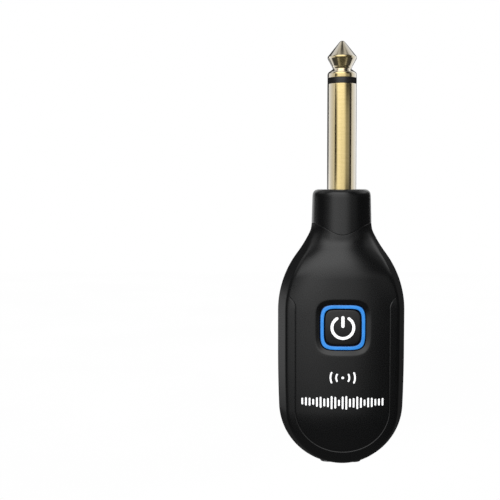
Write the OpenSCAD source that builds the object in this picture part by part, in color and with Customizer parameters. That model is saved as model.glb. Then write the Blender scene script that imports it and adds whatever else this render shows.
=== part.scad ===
// Wireless guitar transmitter: a rounded plastic case that hangs from its own 6.35 mm jack plug.
// Units are millimetres. The plug points up (+Z) and the power button faces the front (-Y). The
// origin is on the plug's axis, in the plane of the collar's top face, which seats on the jack.
// A "drop" is a depth below that plane, so a point at drop s has z = -s.

/* [Case] */
// Width of the case across its sides
case_w = 27.9; // [27.8:0.1:28.6]
// Length from the collar's top face to the bottom of the case
case_len = 61.05; // [60.8:0.05:61.8]
// Thickness from the front face to the rear face
case_t = 17.4; // [17.2:0.1:18]
// Wall thickness of the two shells
wall = 1.5; // [1.3:0.1:1.6]
// Draft of the side walls, in degrees
side_draft = 16.3; // [15:0.1:17]
// Radius of the crown across the front and rear faces
crown_r = 29; // [27:0.5:34]

/* [Collar] */
// Diameter of the collar at its top face
collar_d = 12.65; // [12.6:0.05:12.9]
// Depth of the curved seam under the collar, at the front
seam_drop = 9.7; // [9.6:0.05:9.9]
// Depth of the same seam at the sides
seam_side = 7.3; // [7.1:0.1:7.7]

/* [Plug] */
// Diameter of the plug's sleeve, the quarter inch standard
plug_d = 6.35; // [6.3:0.01:6.4]
// Length of the plug above the collar
plug_len = 32.1; // [31.6:0.1:33]
// Length of the tip contact, from its nose to the insulating ring
tip_len = 8.05; // [7.9:0.05:8.4]
// Thickness of the insulating ring
ring_t = 1.25; // [1:0.05:1.8]

/* [Button] */
// Depth of the button's centre below the collar's top face
button_drop = 29.3; // [28.8:0.1:30.3]
// Width of the sloped recess round the button
recess_w = 11.6; // [11.5:0.1:12.6]
// Outer width of the light ring
light_w = 9.9; // [9.8:0.1:10.2]
// Width of the light ring's visible band
light_band = 1.05; // [0.9:0.05:1.2]
// Depth of the light ring and the button below the face round them
recess_t = 0.4; // [0.3:0.05:0.5]

/* [Electronics] */
// Width of the main board
board_w = 14.4; // [13.6:0.2:14.4]
// Width of the battery
battery_w = 14.4; // [13:0.2:14.4]
// Length of the battery
battery_len = 30; // [26:0.5:30]
// Thickness of the battery
battery_t = 5; // [4:0.1:5.2]

/* [Hidden] */
$fn = 64;

seam_gap = 0.1;             // gap at the curved seam
slip = 0.05;                // clearance between parts that slide together
half_w = case_w / 2;
half_t = case_t / 2;

// Side outline of the case, drop by drop, from the collar down
collar_taper = 1.7;         // slope of the collar's side, in degrees
hip_drop = 26.6;            // where the case reaches its full width
hip_r = 21.3;
flare_angle = 36.8;
flare_r = 28;
throat_angle = 26;
throat_r = 3.8;
belly_drop = 35.8;            // where the sides start to close again
side_r = 300;

// Front and rear outline, seen from the side
brow_drop = 18.9;           // where the face reaches its full height
brow_r = 14.3;
nape_angle = 27.5;
nape_r = 4;

// How the oval neck turns into the drafted, crowned section of the case
blend_from = 7.8;
blend_to = 15;
crease_soft = 0.5;
neck_wall = 1.8;

// Centre and radius of the round bottom, tangent to the sides and to the bottom
bottom_drop = (pow(side_r - half_w, 2) + pow(belly_drop, 2) - pow(side_r - case_len, 2))
    / (2 * (side_r - case_len + belly_drop));
bottom_r = case_len - bottom_drop;

// Grid of the shell's surface
section_angles = [0, 9, 17, 22, 26, 30, 36, 46, 60, 75, 90];
seam_rings = 6;             // rings that turn the curved seam into level rings
shoulder_rings = 12;
level_drop = 12.8;            // the first level ring
bottom_fans = 24;           // steps round the bottom

// Plug
plug_r = plug_d / 2;
shoulder_r = plug_r + 0.5;  // step of the sleeve that fills the collar's hole
shoulder_len = 2.4;
nose_r = 0.8;
nose_half_angle = 38.8;
tip_waist_r = 2.1;
waist_top = 5.65;           // upper and lower end of the waist, below the nose
waist_low = 5.9;
tip_land = 1.1;             // straight part of the tip above the insulating ring
ring_z = plug_len - tip_len - ring_t;
rod_r = 1.2;                // rod of the tip, which runs down inside the insulating tube
rod_drop = 10.2;
rod_head_r = 1.7;           // riveted end of the rod
rod_head_t = 0.6;
bore_r = 1.95;
tail_r = 2.5;
tail_drop = 8.6;
flange_r = 4.8;             // flange of the sleeve, on the shells' bulkhead
flange_h = 1.2;
bulkhead_drop = 3.5;
bulkhead_t = 2;
lug_t = 0.4;
nut_h = 2;
nut_flats = 6.6;
nut_top = -bulkhead_drop - bulkhead_t - lug_t;
washer_r = 2.4;
washer_t = 0.6;

// Collar and the spigot of the shells that it slides over
collar_fillet = 1.2;
collar_roof = 2.2;
spigot_r = 5.2;
spigot_in_r = 4.2;
spigot_drop = 10.5;

// Board and what it carries; the board's front face carries the switch
board_front = -2.6;
board_t = 1;
board_back = board_front + board_t;
board_top = 19.5;
board_bottom = 57.5;
cap_w = light_w - 2 * light_band - 0.2;
cap_flange_w = 8.8;
ring_power = 4.6;           // corner powers of the button's square outlines
cap_power = 5;
recess_power = 4;
skirt_y = -3.4;             // rear end of the light ring's skirt, just ahead of the light sources
flange_y = -6.7;            // front of the cap's flange
flange_t = 0.5;
press_gap = 0.05;           // play of the cap behind the light ring and ahead of the plunger
plunger_tip_y = -5.9;
switch_w = 5.2;
switch_floor = -3;
switch_top = -4.8;
cover_t = 0.3;
led_t = 0.6;
battery_top = 20.5;
battery_front = -1.1;
battery_back = battery_front + battery_t;

// Charging socket
port_w = 9.4;
port_h = 3.5;
usb_half_h = 1.58;
usb_wall = 0.28;
usb_round_x = 2.87;         // centres of the socket's round ends
usb_mouth = 60.4;
usb_len = 7.3;

screw_x = 9.3;
screw_drops = [24, 49.5];
screw_seat = 5.5;
screw_head_r = 1.4;
screw_head_t = 0.9;
screw_r = 0.8;
post_r = 1.8;
post_top = 6.2;
pin_r = 0.8;                // pins that locate the board

// Power icon on the button
icon_r = 2.23;
icon_line = 0.74;
icon_open = 33;
icon_bar = [0.32, 2.12];    // lower and upper end of the upright bar
icon_back = 0.6 + recess_t - half_t;

// Routes of the leads, which end flat on the board's front face
lead_r = 0.5;
lead_y = board_front - lead_r - 0.02;
tip_route = [[-2, 0, -11], [-2, 0, -13], [-2.2, -1.2, -15.5], [-2.4, -2.8, -18], [-2.5, lead_y, -20],
    [-2.5, lead_y, -22]];
ground_route = [[2.95, 0, -9.8], [2.95, 0, -12.5], [2.8, -1.4, -15.5], [2.6, -2.8, -18],
    [2.5, lead_y, -20], [2.5, lead_y, -22]];
battery_route = [[3, 1.5, -19.3], [3.2, 1.3, -17.8], [4.4, -0.6, -16.8], [5.5, -2.6, -17.8],
    [5.8, lead_y, -19.6], [5.8, lead_y, -22]];

// ---------------------------------------------------------------- outline functions

function smooth(t) = let (u = min(max(t, 0), 1)) u * u * (3 - 2 * u);

function soft_min(a, b, k) =
    let (h = max(k - abs(a - b), 0) / k)
    min(a, b) - h * h * k / 4;

// Half-width at drop s on an arc that ends at end = [drop, half-width, slope angle].
// bend is 1 for an arc that swells outwards and -1 for a hollow one.
function arc_half(s, end, r, bend) =
    let (rise = sin(end[2]) + bend * (end[0] - s) / r)
    end[1] - bend * r * (cos(end[2]) - sqrt(1 - rise * rise));

// The point where that arc starts, at a given slope angle
function arc_start(end, r, bend, angle) =
    let (s = end[0] - bend * r * (sin(angle) - sin(end[2])))
    [s, arc_half(s, end, r, bend), angle];

hip = [hip_drop, half_w, 0];
flare = arc_start(hip, hip_r, 1, flare_angle);
throat = arc_start(flare, flare_r, -1, throat_angle);
neck = arc_start(throat, throat_r, -1, collar_taper);
brow = [brow_drop, half_t, 0];
slope = arc_start(brow, brow_r, 1, nape_angle);
nape = arc_start(slope, nape_r, -1, collar_taper);

function collar_r(s) = collar_d / 2 + s * tan(collar_taper);

function side_half(s) =
    s >= belly_drop ? half_w - side_r + sqrt(side_r * side_r - pow(s - belly_drop, 2)) :
    s >= hip[0] ? half_w :
    s >= flare[0] ? arc_half(s, hip, hip_r, 1) :
    s >= throat[0] ? arc_half(s, flare, flare_r, -1) :
    s >= neck[0] ? arc_half(s, throat, throat_r, -1) : collar_r(s);

function face_half(s) =
    s >= brow[0] ? half_t :
    s >= slope[0] ? arc_half(s, brow, brow_r, 1) :
    s >= nape[0] ? arc_half(s, slope, nape_r, -1) : collar_r(s);

// Distance from a section's centre to its edge, at angle a from the side (0) to the face (90)
function section_r(a, side, face, blend) =
    let (
        oval = 1 / sqrt(pow(cos(a) / side, 2) + pow(sin(a) / face, 2)),
        crown = crown_r * pow(side / half_w, 2),
        flank = side / (cos(a) + sin(a) * tan(side_draft)),
        dome = (face - crown) * sin(a) + sqrt(crown * crown - pow((face - crown) * cos(a), 2)),
        pillow = soft_min(flank, dome, crease_soft)
    )
    oval + (pillow - oval) * blend;

// Thickness taken off for the inner surface: skin is 0 for the outer surface and 1 for the inner
function skin_t(s, skin) = skin * (neck_wall + (wall - neck_wall) * smooth((s - 10) / 6));

function surface_r(a, s, skin) =
    let (t = skin_t(s, skin), blend = smooth((s - blend_from) / (blend_to - blend_from)))
    section_r(a, side_half(s) - t, face_half(s) - t, blend);

// Drop of the curved seam at a distance x from the axis: deepest in the middle and level at the sides
function seam_at(x, extra) =
    let (turn = 180 * min(abs(x) / collar_r(seam_drop), 1))
    seam_side + (seam_drop - seam_side) * (1 + cos(turn)) / 2 + extra;

// ---------------------------------------------------------------- shell surface

angles = concat(section_angles, [for (i = [len(section_angles) - 2 : -1 : 0]) 180 - section_angles[i]]);
quarter = len(section_angles) - 1;
columns = len(angles);
levels = concat(
    [for (i = [0 : shoulder_rings - 1]) level_drop + (hip_drop - level_drop) * i / shoulder_rings],
    [hip_drop, belly_drop, (belly_drop + bottom_drop) / 2, bottom_drop]);
rings = seam_rings + len(levels);
sheet = rings * columns + (bottom_fans - 1) * quarter;

function ring_drop(k, a, skin) =
    let (top = seam_at((collar_r(seam_drop) - skin * neck_wall) * cos(a), seam_gap))
    k < seam_rings ? top + (level_drop - top) * k / seam_rings : levels[k - seam_rings];

function ring_point(k, a, skin, face) =
    let (s = ring_drop(k, a, skin), fold = a > 90 ? 180 - a : a, r = surface_r(fold, s, skin))
    [r * cos(a), face * r * sin(a), -s];

function fan_point(i, a, skin, face) =
    let (turn = 180 * i / bottom_fans, t = skin * wall, r = section_r(a, bottom_r - t, half_t - t, 1))
    [r * cos(a) * cos(turn), face * r * sin(a), -bottom_drop - r * cos(a) * sin(turn)];

function sheet_points(skin, face) = concat(
    [for (k = [0 : rings - 1], a = angles) ring_point(k, a, skin, face)],
    [for (i = [1 : bottom_fans - 1], j = [0 : quarter - 1]) fan_point(i, section_angles[j], skin, face)]);

function ring_index(k, j) = k * columns + j;

function fan_index(i, j) =
    i == 0 || j == quarter ? ring_index(rings - 1, j) :
    i == bottom_fans ? ring_index(rings - 1, columns - 1 - j) :
    rings * columns + (i - 1) * quarter + j;

function quad(a, b, c, d, flip) = flip ? [[a, b, c], [a, c, d]] : [[a, c, b], [a, d, c]];

function sheet_faces(start, flip) = [
    for (k = [0 : rings - 2], j = [0 : columns - 2])
        each quad(start + ring_index(k, j), start + ring_index(k, j + 1),
            start + ring_index(k + 1, j + 1), start + ring_index(k + 1, j), flip),
    for (i = [0 : bottom_fans - 1], j = [0 : quarter - 2])
        each quad(start + fan_index(i, j), start + fan_index(i, j + 1),
            start + fan_index(i + 1, j + 1), start + fan_index(i + 1, j), flip),
    for (i = [0 : bottom_fans - 1])
        let (a = start + fan_index(i, quarter - 1), b = start + fan_index(0, quarter),
            c = start + fan_index(i + 1, quarter - 1))
        flip ? [a, b, c] : [a, c, b]
];

rim = concat([for (k = [0 : rings - 1]) ring_index(k, 0)],
    [for (i = [1 : bottom_fans - 1]) fan_index(i, 0)],
    [for (k = [rings - 1 : -1 : 0]) ring_index(k, columns - 1)]);

// Half of the case's wall: the outer and inner sheets, the flat parting rim and the curved seam.
// face is -1 for the front and 1 for the rear.
module half_wall(face) {
    flip = face > 0;
    polyhedron(
        points = concat(sheet_points(0, face), sheet_points(1, face)),
        faces = concat(
            sheet_faces(0, flip),
            sheet_faces(sheet, !flip),
            [for (i = [0 : len(rim) - 2])
                each quad(rim[i], rim[i + 1], sheet + rim[i + 1], sheet + rim[i], flip)],
            [for (j = [0 : columns - 2]) each quad(j, sheet + j, sheet + j + 1, j + 1, flip)]),
        convexity = 6);
}

// ---------------------------------------------------------------- shared shapes

// Front of the crowned face at a distance x from the middle
function face_at(x) = crown_r - half_t - sqrt(crown_r * crown_r - x * x);

// Square with soft corners and slightly bowed sides
function squircle(half, power) = [for (t = [0 : 6 : 354])
    half * [sign(cos(t)) * pow(abs(cos(t)), 2 / power), sign(sin(t)) * pow(abs(sin(t)), 2 / power)]];

// Extrudes a flat drawing of the front view from the plane y = back towards the front
module upright(back, depth) {
    translate([0, back, 0]) rotate([90, 0, 0]) linear_extrude(depth) children();
}

module at_button() {
    translate([0, 0, -button_drop]) children();
}

// Block on the board's front face: centre x, centre drop, width, height and thickness
module front_chip(x, drop, w, h, t) {
    translate([x - w / 2, board_front - t, -drop - h / 2]) cube([w, t, h]);
}

module at_screws() {
    for (side = [-1, 1], drop = screw_drops) translate([side * screw_x, 0, -drop]) children();
}

// Cylinder along Y from y = from to y = to
module rod_y(r, from, to) {
    translate([0, from, 0]) rotate([-90, 0, 0]) cylinder(r = r, h = to - from);
}

module half_spigot(face) {
    rotate([0, 0, face > 0 ? 0 : 180]) rotate_extrude(angle = 180)
        polygon([[tail_r + 2 * slip, -bulkhead_drop - bulkhead_t], [tail_r + 2 * slip, -bulkhead_drop],
            [spigot_r, -bulkhead_drop], [spigot_r, -spigot_drop], [spigot_in_r, -spigot_drop],
            [spigot_in_r, -bulkhead_drop - bulkhead_t]]);
}

// Sloped dish that follows the crown of the face: it narrows from the recess to the light ring
module recess_cutter() {
    over = 0.3;
    slope = (recess_w - light_w) / 2 / recess_t;
    top = squircle(recess_w / 2 + over * slope, recess_power);
    floor = squircle(light_w / 2, ring_power);
    n = len(top);
    points = concat(
        [for (p = top) [p[0], face_at(p[0]) - over, p[1]]],
        [for (p = floor) [p[0], face_at(p[0]) + recess_t, p[1]]],
        [[0, -half_t - 2, 0], [0, -half_t + 1, 0]]);
    faces = [for (i = [0 : n - 1]) let (j = (i + 1) % n)
        each concat(quad(i, j, n + j, n + i, true), [[2 * n, j, i], [2 * n + 1, n + i, n + j]])];
    polyhedron(points = points, faces = faces, convexity = 4);
}

// Everything behind a surface that lies depth below the crowned face
module behind_face(depth) {
    reach = light_w * 0.6;
    translate([0, 0, -light_w]) linear_extrude(2 * light_w) polygon(concat(
        [for (x = [-reach : reach / 8 : reach]) [x, face_at(x) + depth]], [[reach, 0], [-reach, 0]]));
}

// Round-ended opening for the charging plug, cut through the bottom on the parting plane
module usb_opening() {
    straight = port_w - port_h;
    translate([0, 0, -case_len - 1]) {
        for (x = [-straight / 2, straight / 2]) translate([x, 0, 0]) cylinder(d = port_h, h = 4);
        translate([-straight / 2, -port_h / 2, 0]) cube([straight, port_h, 4]);
    }
}

function catmull(p, q, r, s, t) = 0.5 * (2 * q + (r - p) * t + (2 * p - 5 * q + 4 * r - s) * t * t
    + (3 * q - p - 3 * r + s) * t * t * t);

lead_steps = 3;

function route_points(route) = concat(
    [for (i = [0 : len(route) - 2], k = [0 : lead_steps - 1])
        catmull(route[max(i - 1, 0)], route[i], route[i + 1], route[min(i + 2, len(route) - 1)],
            k / lead_steps)],
    [route[len(route) - 1]]);

// Round lead swept along a smooth curve through the route's points
module lead(route) {
    path = route_points(route);
    last = len(path) - 1;
    sides = 8;
    points = [for (i = [0 : last])
        let (dir = path[min(i + 1, last)] - path[max(i - 1, 0)], t = dir / norm(dir),
            u = cross(t, [1, 0, 0]) / norm(cross(t, [1, 0, 0])), v = cross(t, u))
        for (k = [0 : sides - 1]) path[i] + lead_r * (cos(k * 360 / sides) * u + sin(k * 360 / sides) * v)];
    tube = [for (i = [0 : last - 1], k = [0 : sides - 1])
        each quad(i * sides + k, i * sides + (k + 1) % sides, (i + 1) * sides + (k + 1) % sides,
            (i + 1) * sides + k, false)];
    caps = [[for (k = [0 : sides - 1]) k], [for (k = [sides - 1 : -1 : 0]) last * sides + k]];
    polyhedron(points = points, faces = concat(tube, caps), convexity = 4);
}

// ---------------------------------------------------------------- case

module front_shell() {
    color([0.13, 0.13, 0.14]) difference() {
        union() {
            half_wall(-1);
            half_spigot(-1);
            at_screws() rod_y(post_r, -post_top, 0);
            for (side = [-1, 1], drop = [23.3, 38])
                translate([side * 6.6, 0, -drop]) rod_y(pin_r, -6.9, board_front - 0.02);
        }
        at_screws() rod_y(screw_r + slip, -3.5, 1);
        at_button() {
            upright(-5, 5) polygon(squircle(light_w / 2 + slip, ring_power));
            recess_cutter();
        }
        usb_opening();
    }
}

module rear_shell() {
    color([0.12, 0.12, 0.13]) difference() {
        union() {
            half_wall(1);
            half_spigot(1);
            at_screws() rod_y(post_r, 0, post_top);
            for (drop = [27, 43]) translate([-6, battery_back + 0.1, -drop - 0.5])
                cube([12, 6.9 - battery_back - 0.1, 1]);
            for (side = [-1, 1]) translate([side * 6.2, 0, -52.5]) rod_y(pin_r, board_back + 0.02, 6.5);
        }
        at_screws() {
            rod_y(screw_r + 0.15, -1, 7);
            rod_y(screw_head_r + 0.1, screw_seat, half_t + 1);
        }
        usb_opening();
    }
}

// Tapered sleeve with a rounded top edge and a curved lower edge, slid over the shells' spigot
module collar() {
    fillet_r = collar_d / 2 - collar_fillet;
    low = seam_drop + 1;
    reach = collar_d;
    seam_x = [for (a = angles) collar_r(seam_drop) * cos(a)];
    color([0.13, 0.13, 0.14]) intersection() {
        rotate_extrude() polygon(concat(
            [[shoulder_r + slip, 0]],
            [for (a = [90 : -10 : 0]) [fillet_r + collar_fillet * cos(a), collar_fillet * (sin(a) - 1)]],
            [[collar_r(low), -low], [spigot_r + 2 * slip, -low], [spigot_r + 2 * slip, -collar_roof],
                [shoulder_r + slip, -collar_roof]]));
        upright(reach, 2 * reach) polygon(concat(
            [[-reach, -seam_side], [-reach, 1], [reach, 1], [reach, -seam_side]],
            [for (x = seam_x) [x, -seam_at(x, 0)]]));
    }
}

module case_screws() {
    color([0.35, 0.35, 0.37]) at_screws() difference() {
        union() {
            rod_y(screw_r, -3, screw_seat + 0.2);
            rod_y(screw_head_r, screw_seat, screw_seat + screw_head_t);
        }
        for (turn = [0, 90]) rotate([0, turn, 0])
            translate([-0.85, screw_seat + 0.4, -0.14]) cube([1.7, 1, 0.28]);
    }
}

// ---------------------------------------------------------------- plug

module plug_tip() {
    nose_centre = plug_len - nose_r;
    edge_r = plug_r - 0.01;
    base_z = ring_z + ring_t;
    cone_start = nose_centre + nose_r * sin(nose_half_angle);
    edge_z = cone_start - (edge_r - nose_r * cos(nose_half_angle)) / tan(nose_half_angle);
    color([0.85, 0.72, 0.42]) rotate_extrude() polygon(concat(
        [[0, -rod_drop], [rod_head_r, -rod_drop], [rod_head_r, rod_head_t - rod_drop],
            [rod_r, rod_head_t - rod_drop], [rod_r, base_z], [edge_r, base_z], [edge_r, base_z + tip_land],
            [tip_waist_r + 0.1, plug_len - waist_low - 0.15], [tip_waist_r, plug_len - waist_low],
            [tip_waist_r, plug_len - waist_top], [edge_r, edge_z - 0.35], [edge_r, edge_z]],
        [for (a = [nose_half_angle : (90 - nose_half_angle) / 5 : 90.1])
            [max(nose_r * cos(a), 0), nose_centre + nose_r * sin(a)]]));
}

module plug_insulating_ring() {
    color([0.08, 0.08, 0.08]) translate([0, 0, ring_z]) difference() {
        cylinder(r = plug_r - 0.02, h = ring_t);
        translate([0, 0, -1]) cylinder(r = rod_r + slip, h = ring_t + 2);
    }
}

module plug_sleeve() {
    color([0.85, 0.72, 0.42]) difference() {
        union() {
            cylinder(r = plug_r, h = ring_z);
            translate([0, 0, -shoulder_len]) cylinder(r = shoulder_r, h = shoulder_len);
            translate([0, 0, -bulkhead_drop]) cylinder(r = flange_r, h = flange_h);
            translate([0, 0, -tail_drop]) cylinder(r = tail_r, h = tail_drop - bulkhead_drop);
        }
        translate([0, 0, -tail_drop - 1]) cylinder(r = bore_r, h = tail_drop + ring_z + 2);
    }
}

module plug_insulating_tube() {
    color([0.9, 0.9, 0.86]) translate([0, 0, -tail_drop]) difference() {
        cylinder(r = bore_r - slip, h = tail_drop + ring_z);
        translate([0, 0, -1]) cylinder(r = rod_r + slip, h = tail_drop + ring_z + 2);
    }
}

module plug_nut() {
    color("silver") translate([0, 0, nut_top - nut_h]) difference() {
        rotate([0, 0, 30]) cylinder(d = nut_flats / cos(30), h = nut_h, $fn = 6);
        translate([0, 0, -1]) cylinder(r = tail_r + slip, h = nut_h + 2);
    }
}

module ground_lug() {
    color([0.8, 0.8, 0.78]) difference() {
        union() {
            translate([0, 0, nut_top]) cylinder(r = 3.9, h = lug_t);
            translate([3.5, -0.7, -11.5]) cube([0.4, 1.4, 11.5 + nut_top + lug_t]);
        }
        translate([0, 0, nut_top - 1]) cylinder(r = tail_r + 2 * slip, h = 3);
    }
}

module tip_washer() {
    color([0.75, 0.6, 0.35]) translate([0, 0, -tail_drop - washer_t]) difference() {
        cylinder(r = washer_r, h = washer_t);
        translate([0, 0, -1]) cylinder(r = rod_r + slip, h = 3);
    }
}

module tip_lug() {
    top = -tail_drop - washer_t;
    color([0.8, 0.8, 0.78]) difference() {
        union() {
            translate([0, 0, top - lug_t]) cylinder(r = washer_r, h = lug_t);
            translate([-2.9, -0.8, top - lug_t]) cube([1.4, 1.6, lug_t]);
            translate([-2.9, -0.8, -13]) cube([0.4, 1.6, 13 + top]);
        }
        translate([0, 0, top - 2]) cylinder(r = rod_r + slip, h = 4);
    }
}

// ---------------------------------------------------------------- button and switch

module light_ring() {
    color([0.25, 0.55, 0.95]) at_button() difference() {
        intersection() {
            upright(skirt_y, half_t) polygon(squircle(light_w / 2, ring_power));
            behind_face(recess_t);
        }
        upright(0, half_t + 1) polygon(squircle(light_w / 2 - light_band, cap_power));
        upright(0, -flange_y) polygon(squircle(cap_flange_w / 2 + 0.2, cap_power));
    }
}

// Open circle with an upright bar in its gap, all with round ends
module icon_shape(extra) {
    half = icon_line / 2 + extra;
    difference() {
        circle(r = icon_r + half);
        circle(r = icon_r - half);
        polygon([[0, 0], [6 * tan(icon_open), 6], [-6 * tan(icon_open), 6]]);
    }
    for (side = [-1, 1])
        translate([side * icon_r * sin(icon_open), icon_r * cos(icon_open)]) circle(r = half, $fn = 24);
    for (y = icon_bar) translate([0, y]) circle(r = half, $fn = 24);
    translate([-half, icon_bar[0]]) square([2 * half, icon_bar[1] - icon_bar[0]]);
}

module button_cap() {
    color([0.12, 0.12, 0.13]) at_button() difference() {
        union() {
            intersection() {
                upright(flange_y + flange_t, half_t) polygon(squircle(cap_w / 2, cap_power));
                behind_face(recess_t);
            }
            upright(flange_y + press_gap + flange_t, flange_t)
                polygon(squircle(cap_flange_w / 2, cap_power));
            rod_y(1, flange_y, plunger_tip_y - press_gap);
        }
        upright(icon_back, half_t) icon_shape(0.02);
    }
}

module power_icon() {
    color([0.97, 0.97, 0.97]) at_button() intersection() {
        upright(icon_back, half_t) icon_shape(0);
        behind_face(recess_t);
    }
}

module switch_base() {
    color([0.1, 0.1, 0.1]) at_button() difference() {
        translate([-switch_w / 2, switch_top, -switch_w / 2])
            cube([switch_w, board_front - switch_top, switch_w]);
        rod_y(1.9, switch_top - 1, switch_floor);
    }
}

module switch_cover() {
    color("silver") at_button() difference() {
        translate([-switch_w / 2, switch_top - cover_t, -switch_w / 2]) cube([switch_w, cover_t, switch_w]);
        rod_y(1.35, switch_top - 1, switch_top + 1);
    }
}

// Snap disc: a thin dished ring of sheet that stands on the switch's floor
module switch_dome() {
    color([0.8, 0.8, 0.78]) at_button() translate([0, switch_floor, 0]) rotate([90, 0, 0])
        rotate_extrude() polygon([[1.8, 0], [1.7, 0], [0, 0.3], [0, 0.4], [1.8, 0.1]]);
}

module switch_plunger() {
    color([0.15, 0.15, 0.15]) at_button() {
        rod_y(1.25, plunger_tip_y, -4.3);
        rod_y(1.7, -4.7, -3.8);
    }
}

// ---------------------------------------------------------------- board

module main_board() {
    half = board_w / 2;
    color([0.05, 0.3, 0.18]) upright(board_back, board_t)
        polygon([[-half, -board_top], [half, -board_top], [half, -54], [half - 2.8, -board_bottom],
            [2.8 - half, -board_bottom], [-half, -54]]);
}

module rf_shield() {
    color("silver") difference() {
        front_chip(0, 47, 12, 12, 1.8);
        translate([-5.8, board_front - 1.6, -52.8]) cube([11.6, 2, 11.6]);
        for (x = [-3.6, -1.2, 1.2, 3.6], drop = [43.4, 47, 50.6])
            translate([x, 0, -drop]) rod_y(0.35, -5, board_front - 1.5);
    }
}

module chip_antenna() {
    color([0.85, 0.85, 0.8]) front_chip(0, 55.6, 7, 2, 1.1);
}

module codec_chip() {
    color([0.1, 0.1, 0.1]) front_chip(-3.2, 37.8, 4, 4, 0.8);
}

module charger_chip() {
    color([0.1, 0.1, 0.1]) front_chip(4.1, 36.4, 2.9, 1.6, 1.1);
}

module crystal() {
    color("silver") front_chip(1, 36.4, 2.5, 2, 0.7);
}

module inductor() {
    color([0.2, 0.2, 0.2]) front_chip(4.4, 39.4, 2.4, 2.4, 1.2);
}

module capacitors() {
    color([0.65, 0.5, 0.3]) for (x = [-0.2, 1.2, 2.6], drop = [38.6, 40])
        front_chip(x, drop, 0.8, 1, 0.5);
}

module resistors() {
    color([0.12, 0.12, 0.12]) for (x = [-6.4, 6.4], drop = [26, 27.4, 28.8, 30.2, 31.6])
        front_chip(x, drop, 1, 0.5, 0.35);
}

module ring_leds() {
    color([0.9, 0.9, 0.8]) at_button() for (turn = [0 : 90 : 270]) rotate([0, turn, 0])
        translate([4.4, board_front - led_t, -0.8]) cube([0.8, led_t, 1.6]);
}

module icon_leds() {
    color([0.95, 0.95, 0.85]) at_button() for (turn = [0, 180]) rotate([0, turn, 0])
        translate([3, board_front - led_t, -0.8]) cube([0.8, led_t, 1.6]);
}

// Round-ended socket profile of a given half-height, drawn in the bottom view
module usb_profile(half_h) {
    for (side = [-1, 1]) translate([side * usb_round_x, 0]) circle(r = half_h);
    translate([-usb_round_x, -half_h]) square([2 * usb_round_x, 2 * half_h]);
}

module usb_shell() {
    color("silver") translate([0, 0, -usb_mouth]) difference() {
        linear_extrude(usb_len) usb_profile(usb_half_h);
        translate([0, 0, -1]) linear_extrude(usb_len + 0.5) usb_profile(usb_half_h - usb_wall);
    }
}

module usb_tongue() {
    color([0.1, 0.1, 0.1]) translate([0, 0, -usb_mouth]) {
        translate([-3.3, -0.35, 1.2]) cube([6.6, 0.7, usb_len - 2.9]);
        translate([0, 0, usb_len - 1.7]) linear_extrude(1.2) usb_profile(usb_half_h - usb_wall - 0.02);
    }
}

// ---------------------------------------------------------------- battery and leads

module battery_cell() {
    color([0.75, 0.76, 0.78]) translate([-battery_w / 2, battery_front, -battery_top - battery_len])
        cube([battery_w, battery_t, battery_len]);
}

module battery_foam() {
    color([0.2, 0.2, 0.2]) translate([-battery_w / 2 + 1, board_back, -battery_top - battery_len + 2])
        cube([battery_w - 2, battery_front - board_back, battery_len - 4]);
}

module battery_tab_board() {
    color([0.8, 0.6, 0.2]) translate([-6, -0.4, -battery_top]) cube([12, 3.6, 1.2]);
}

module battery_lead_positive() {
    color("red") lead(battery_route);
}

module battery_lead_negative() {
    color([0.1, 0.1, 0.1]) lead([for (p = battery_route) [-p[0], p[1], p[2]]]);
}

module plug_lead_tip() {
    color("white") lead(tip_route);
}

module plug_lead_ground() {
    color([0.1, 0.1, 0.1]) lead(ground_route);
}

front_shell();
rear_shell();
collar();
plug_tip();
plug_insulating_ring();
plug_sleeve();
plug_insulating_tube();
plug_nut();
ground_lug();
tip_washer();
tip_lug();
light_ring();
button_cap();
power_icon();
switch_base();
switch_cover();
switch_dome();
switch_plunger();
main_board();
rf_shield();
chip_antenna();
codec_chip();
charger_chip();
crystal();
inductor();
capacitors();
resistors();
ring_leds();
icon_leds();
usb_shell();
usb_tongue();
battery_cell();
battery_tab_board();
battery_foam();
battery_lead_positive();
battery_lead_negative();
plug_lead_tip();
plug_lead_ground();
case_screws();
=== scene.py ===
import math

import bpy
import numpy as np
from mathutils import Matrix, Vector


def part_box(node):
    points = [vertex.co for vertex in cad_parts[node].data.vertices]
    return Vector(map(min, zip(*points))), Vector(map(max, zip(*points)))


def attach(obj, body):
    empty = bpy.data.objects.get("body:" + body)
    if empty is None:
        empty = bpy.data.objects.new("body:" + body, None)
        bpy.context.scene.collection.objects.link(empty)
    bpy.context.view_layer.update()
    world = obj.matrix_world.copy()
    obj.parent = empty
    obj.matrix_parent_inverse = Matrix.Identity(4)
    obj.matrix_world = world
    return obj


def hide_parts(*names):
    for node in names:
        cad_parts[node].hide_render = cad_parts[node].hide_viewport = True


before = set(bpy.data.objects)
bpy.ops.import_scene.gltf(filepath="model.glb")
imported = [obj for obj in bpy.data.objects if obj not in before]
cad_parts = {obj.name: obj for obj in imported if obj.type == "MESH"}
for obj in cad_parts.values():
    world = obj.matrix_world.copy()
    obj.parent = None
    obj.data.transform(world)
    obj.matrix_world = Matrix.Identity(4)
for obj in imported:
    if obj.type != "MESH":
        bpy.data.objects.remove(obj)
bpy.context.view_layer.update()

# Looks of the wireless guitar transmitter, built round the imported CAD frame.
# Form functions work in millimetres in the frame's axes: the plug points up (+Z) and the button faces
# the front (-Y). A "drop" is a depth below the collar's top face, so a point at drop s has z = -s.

MM = 0.001


def span(node):
    """Lowest and highest corner of a CAD node, in millimetres."""
    low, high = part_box(node)
    return np.array(low) / MM, np.array(high) / MM


# ---------------------------------------------------------------- sizes taken from the frame

front_low, front_high = span("front_shell")
ring_low, ring_high = span("light_ring")
insulator_low, insulator_high = span("plug_insulating_ring")

HALF_W = front_high[0]
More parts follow.
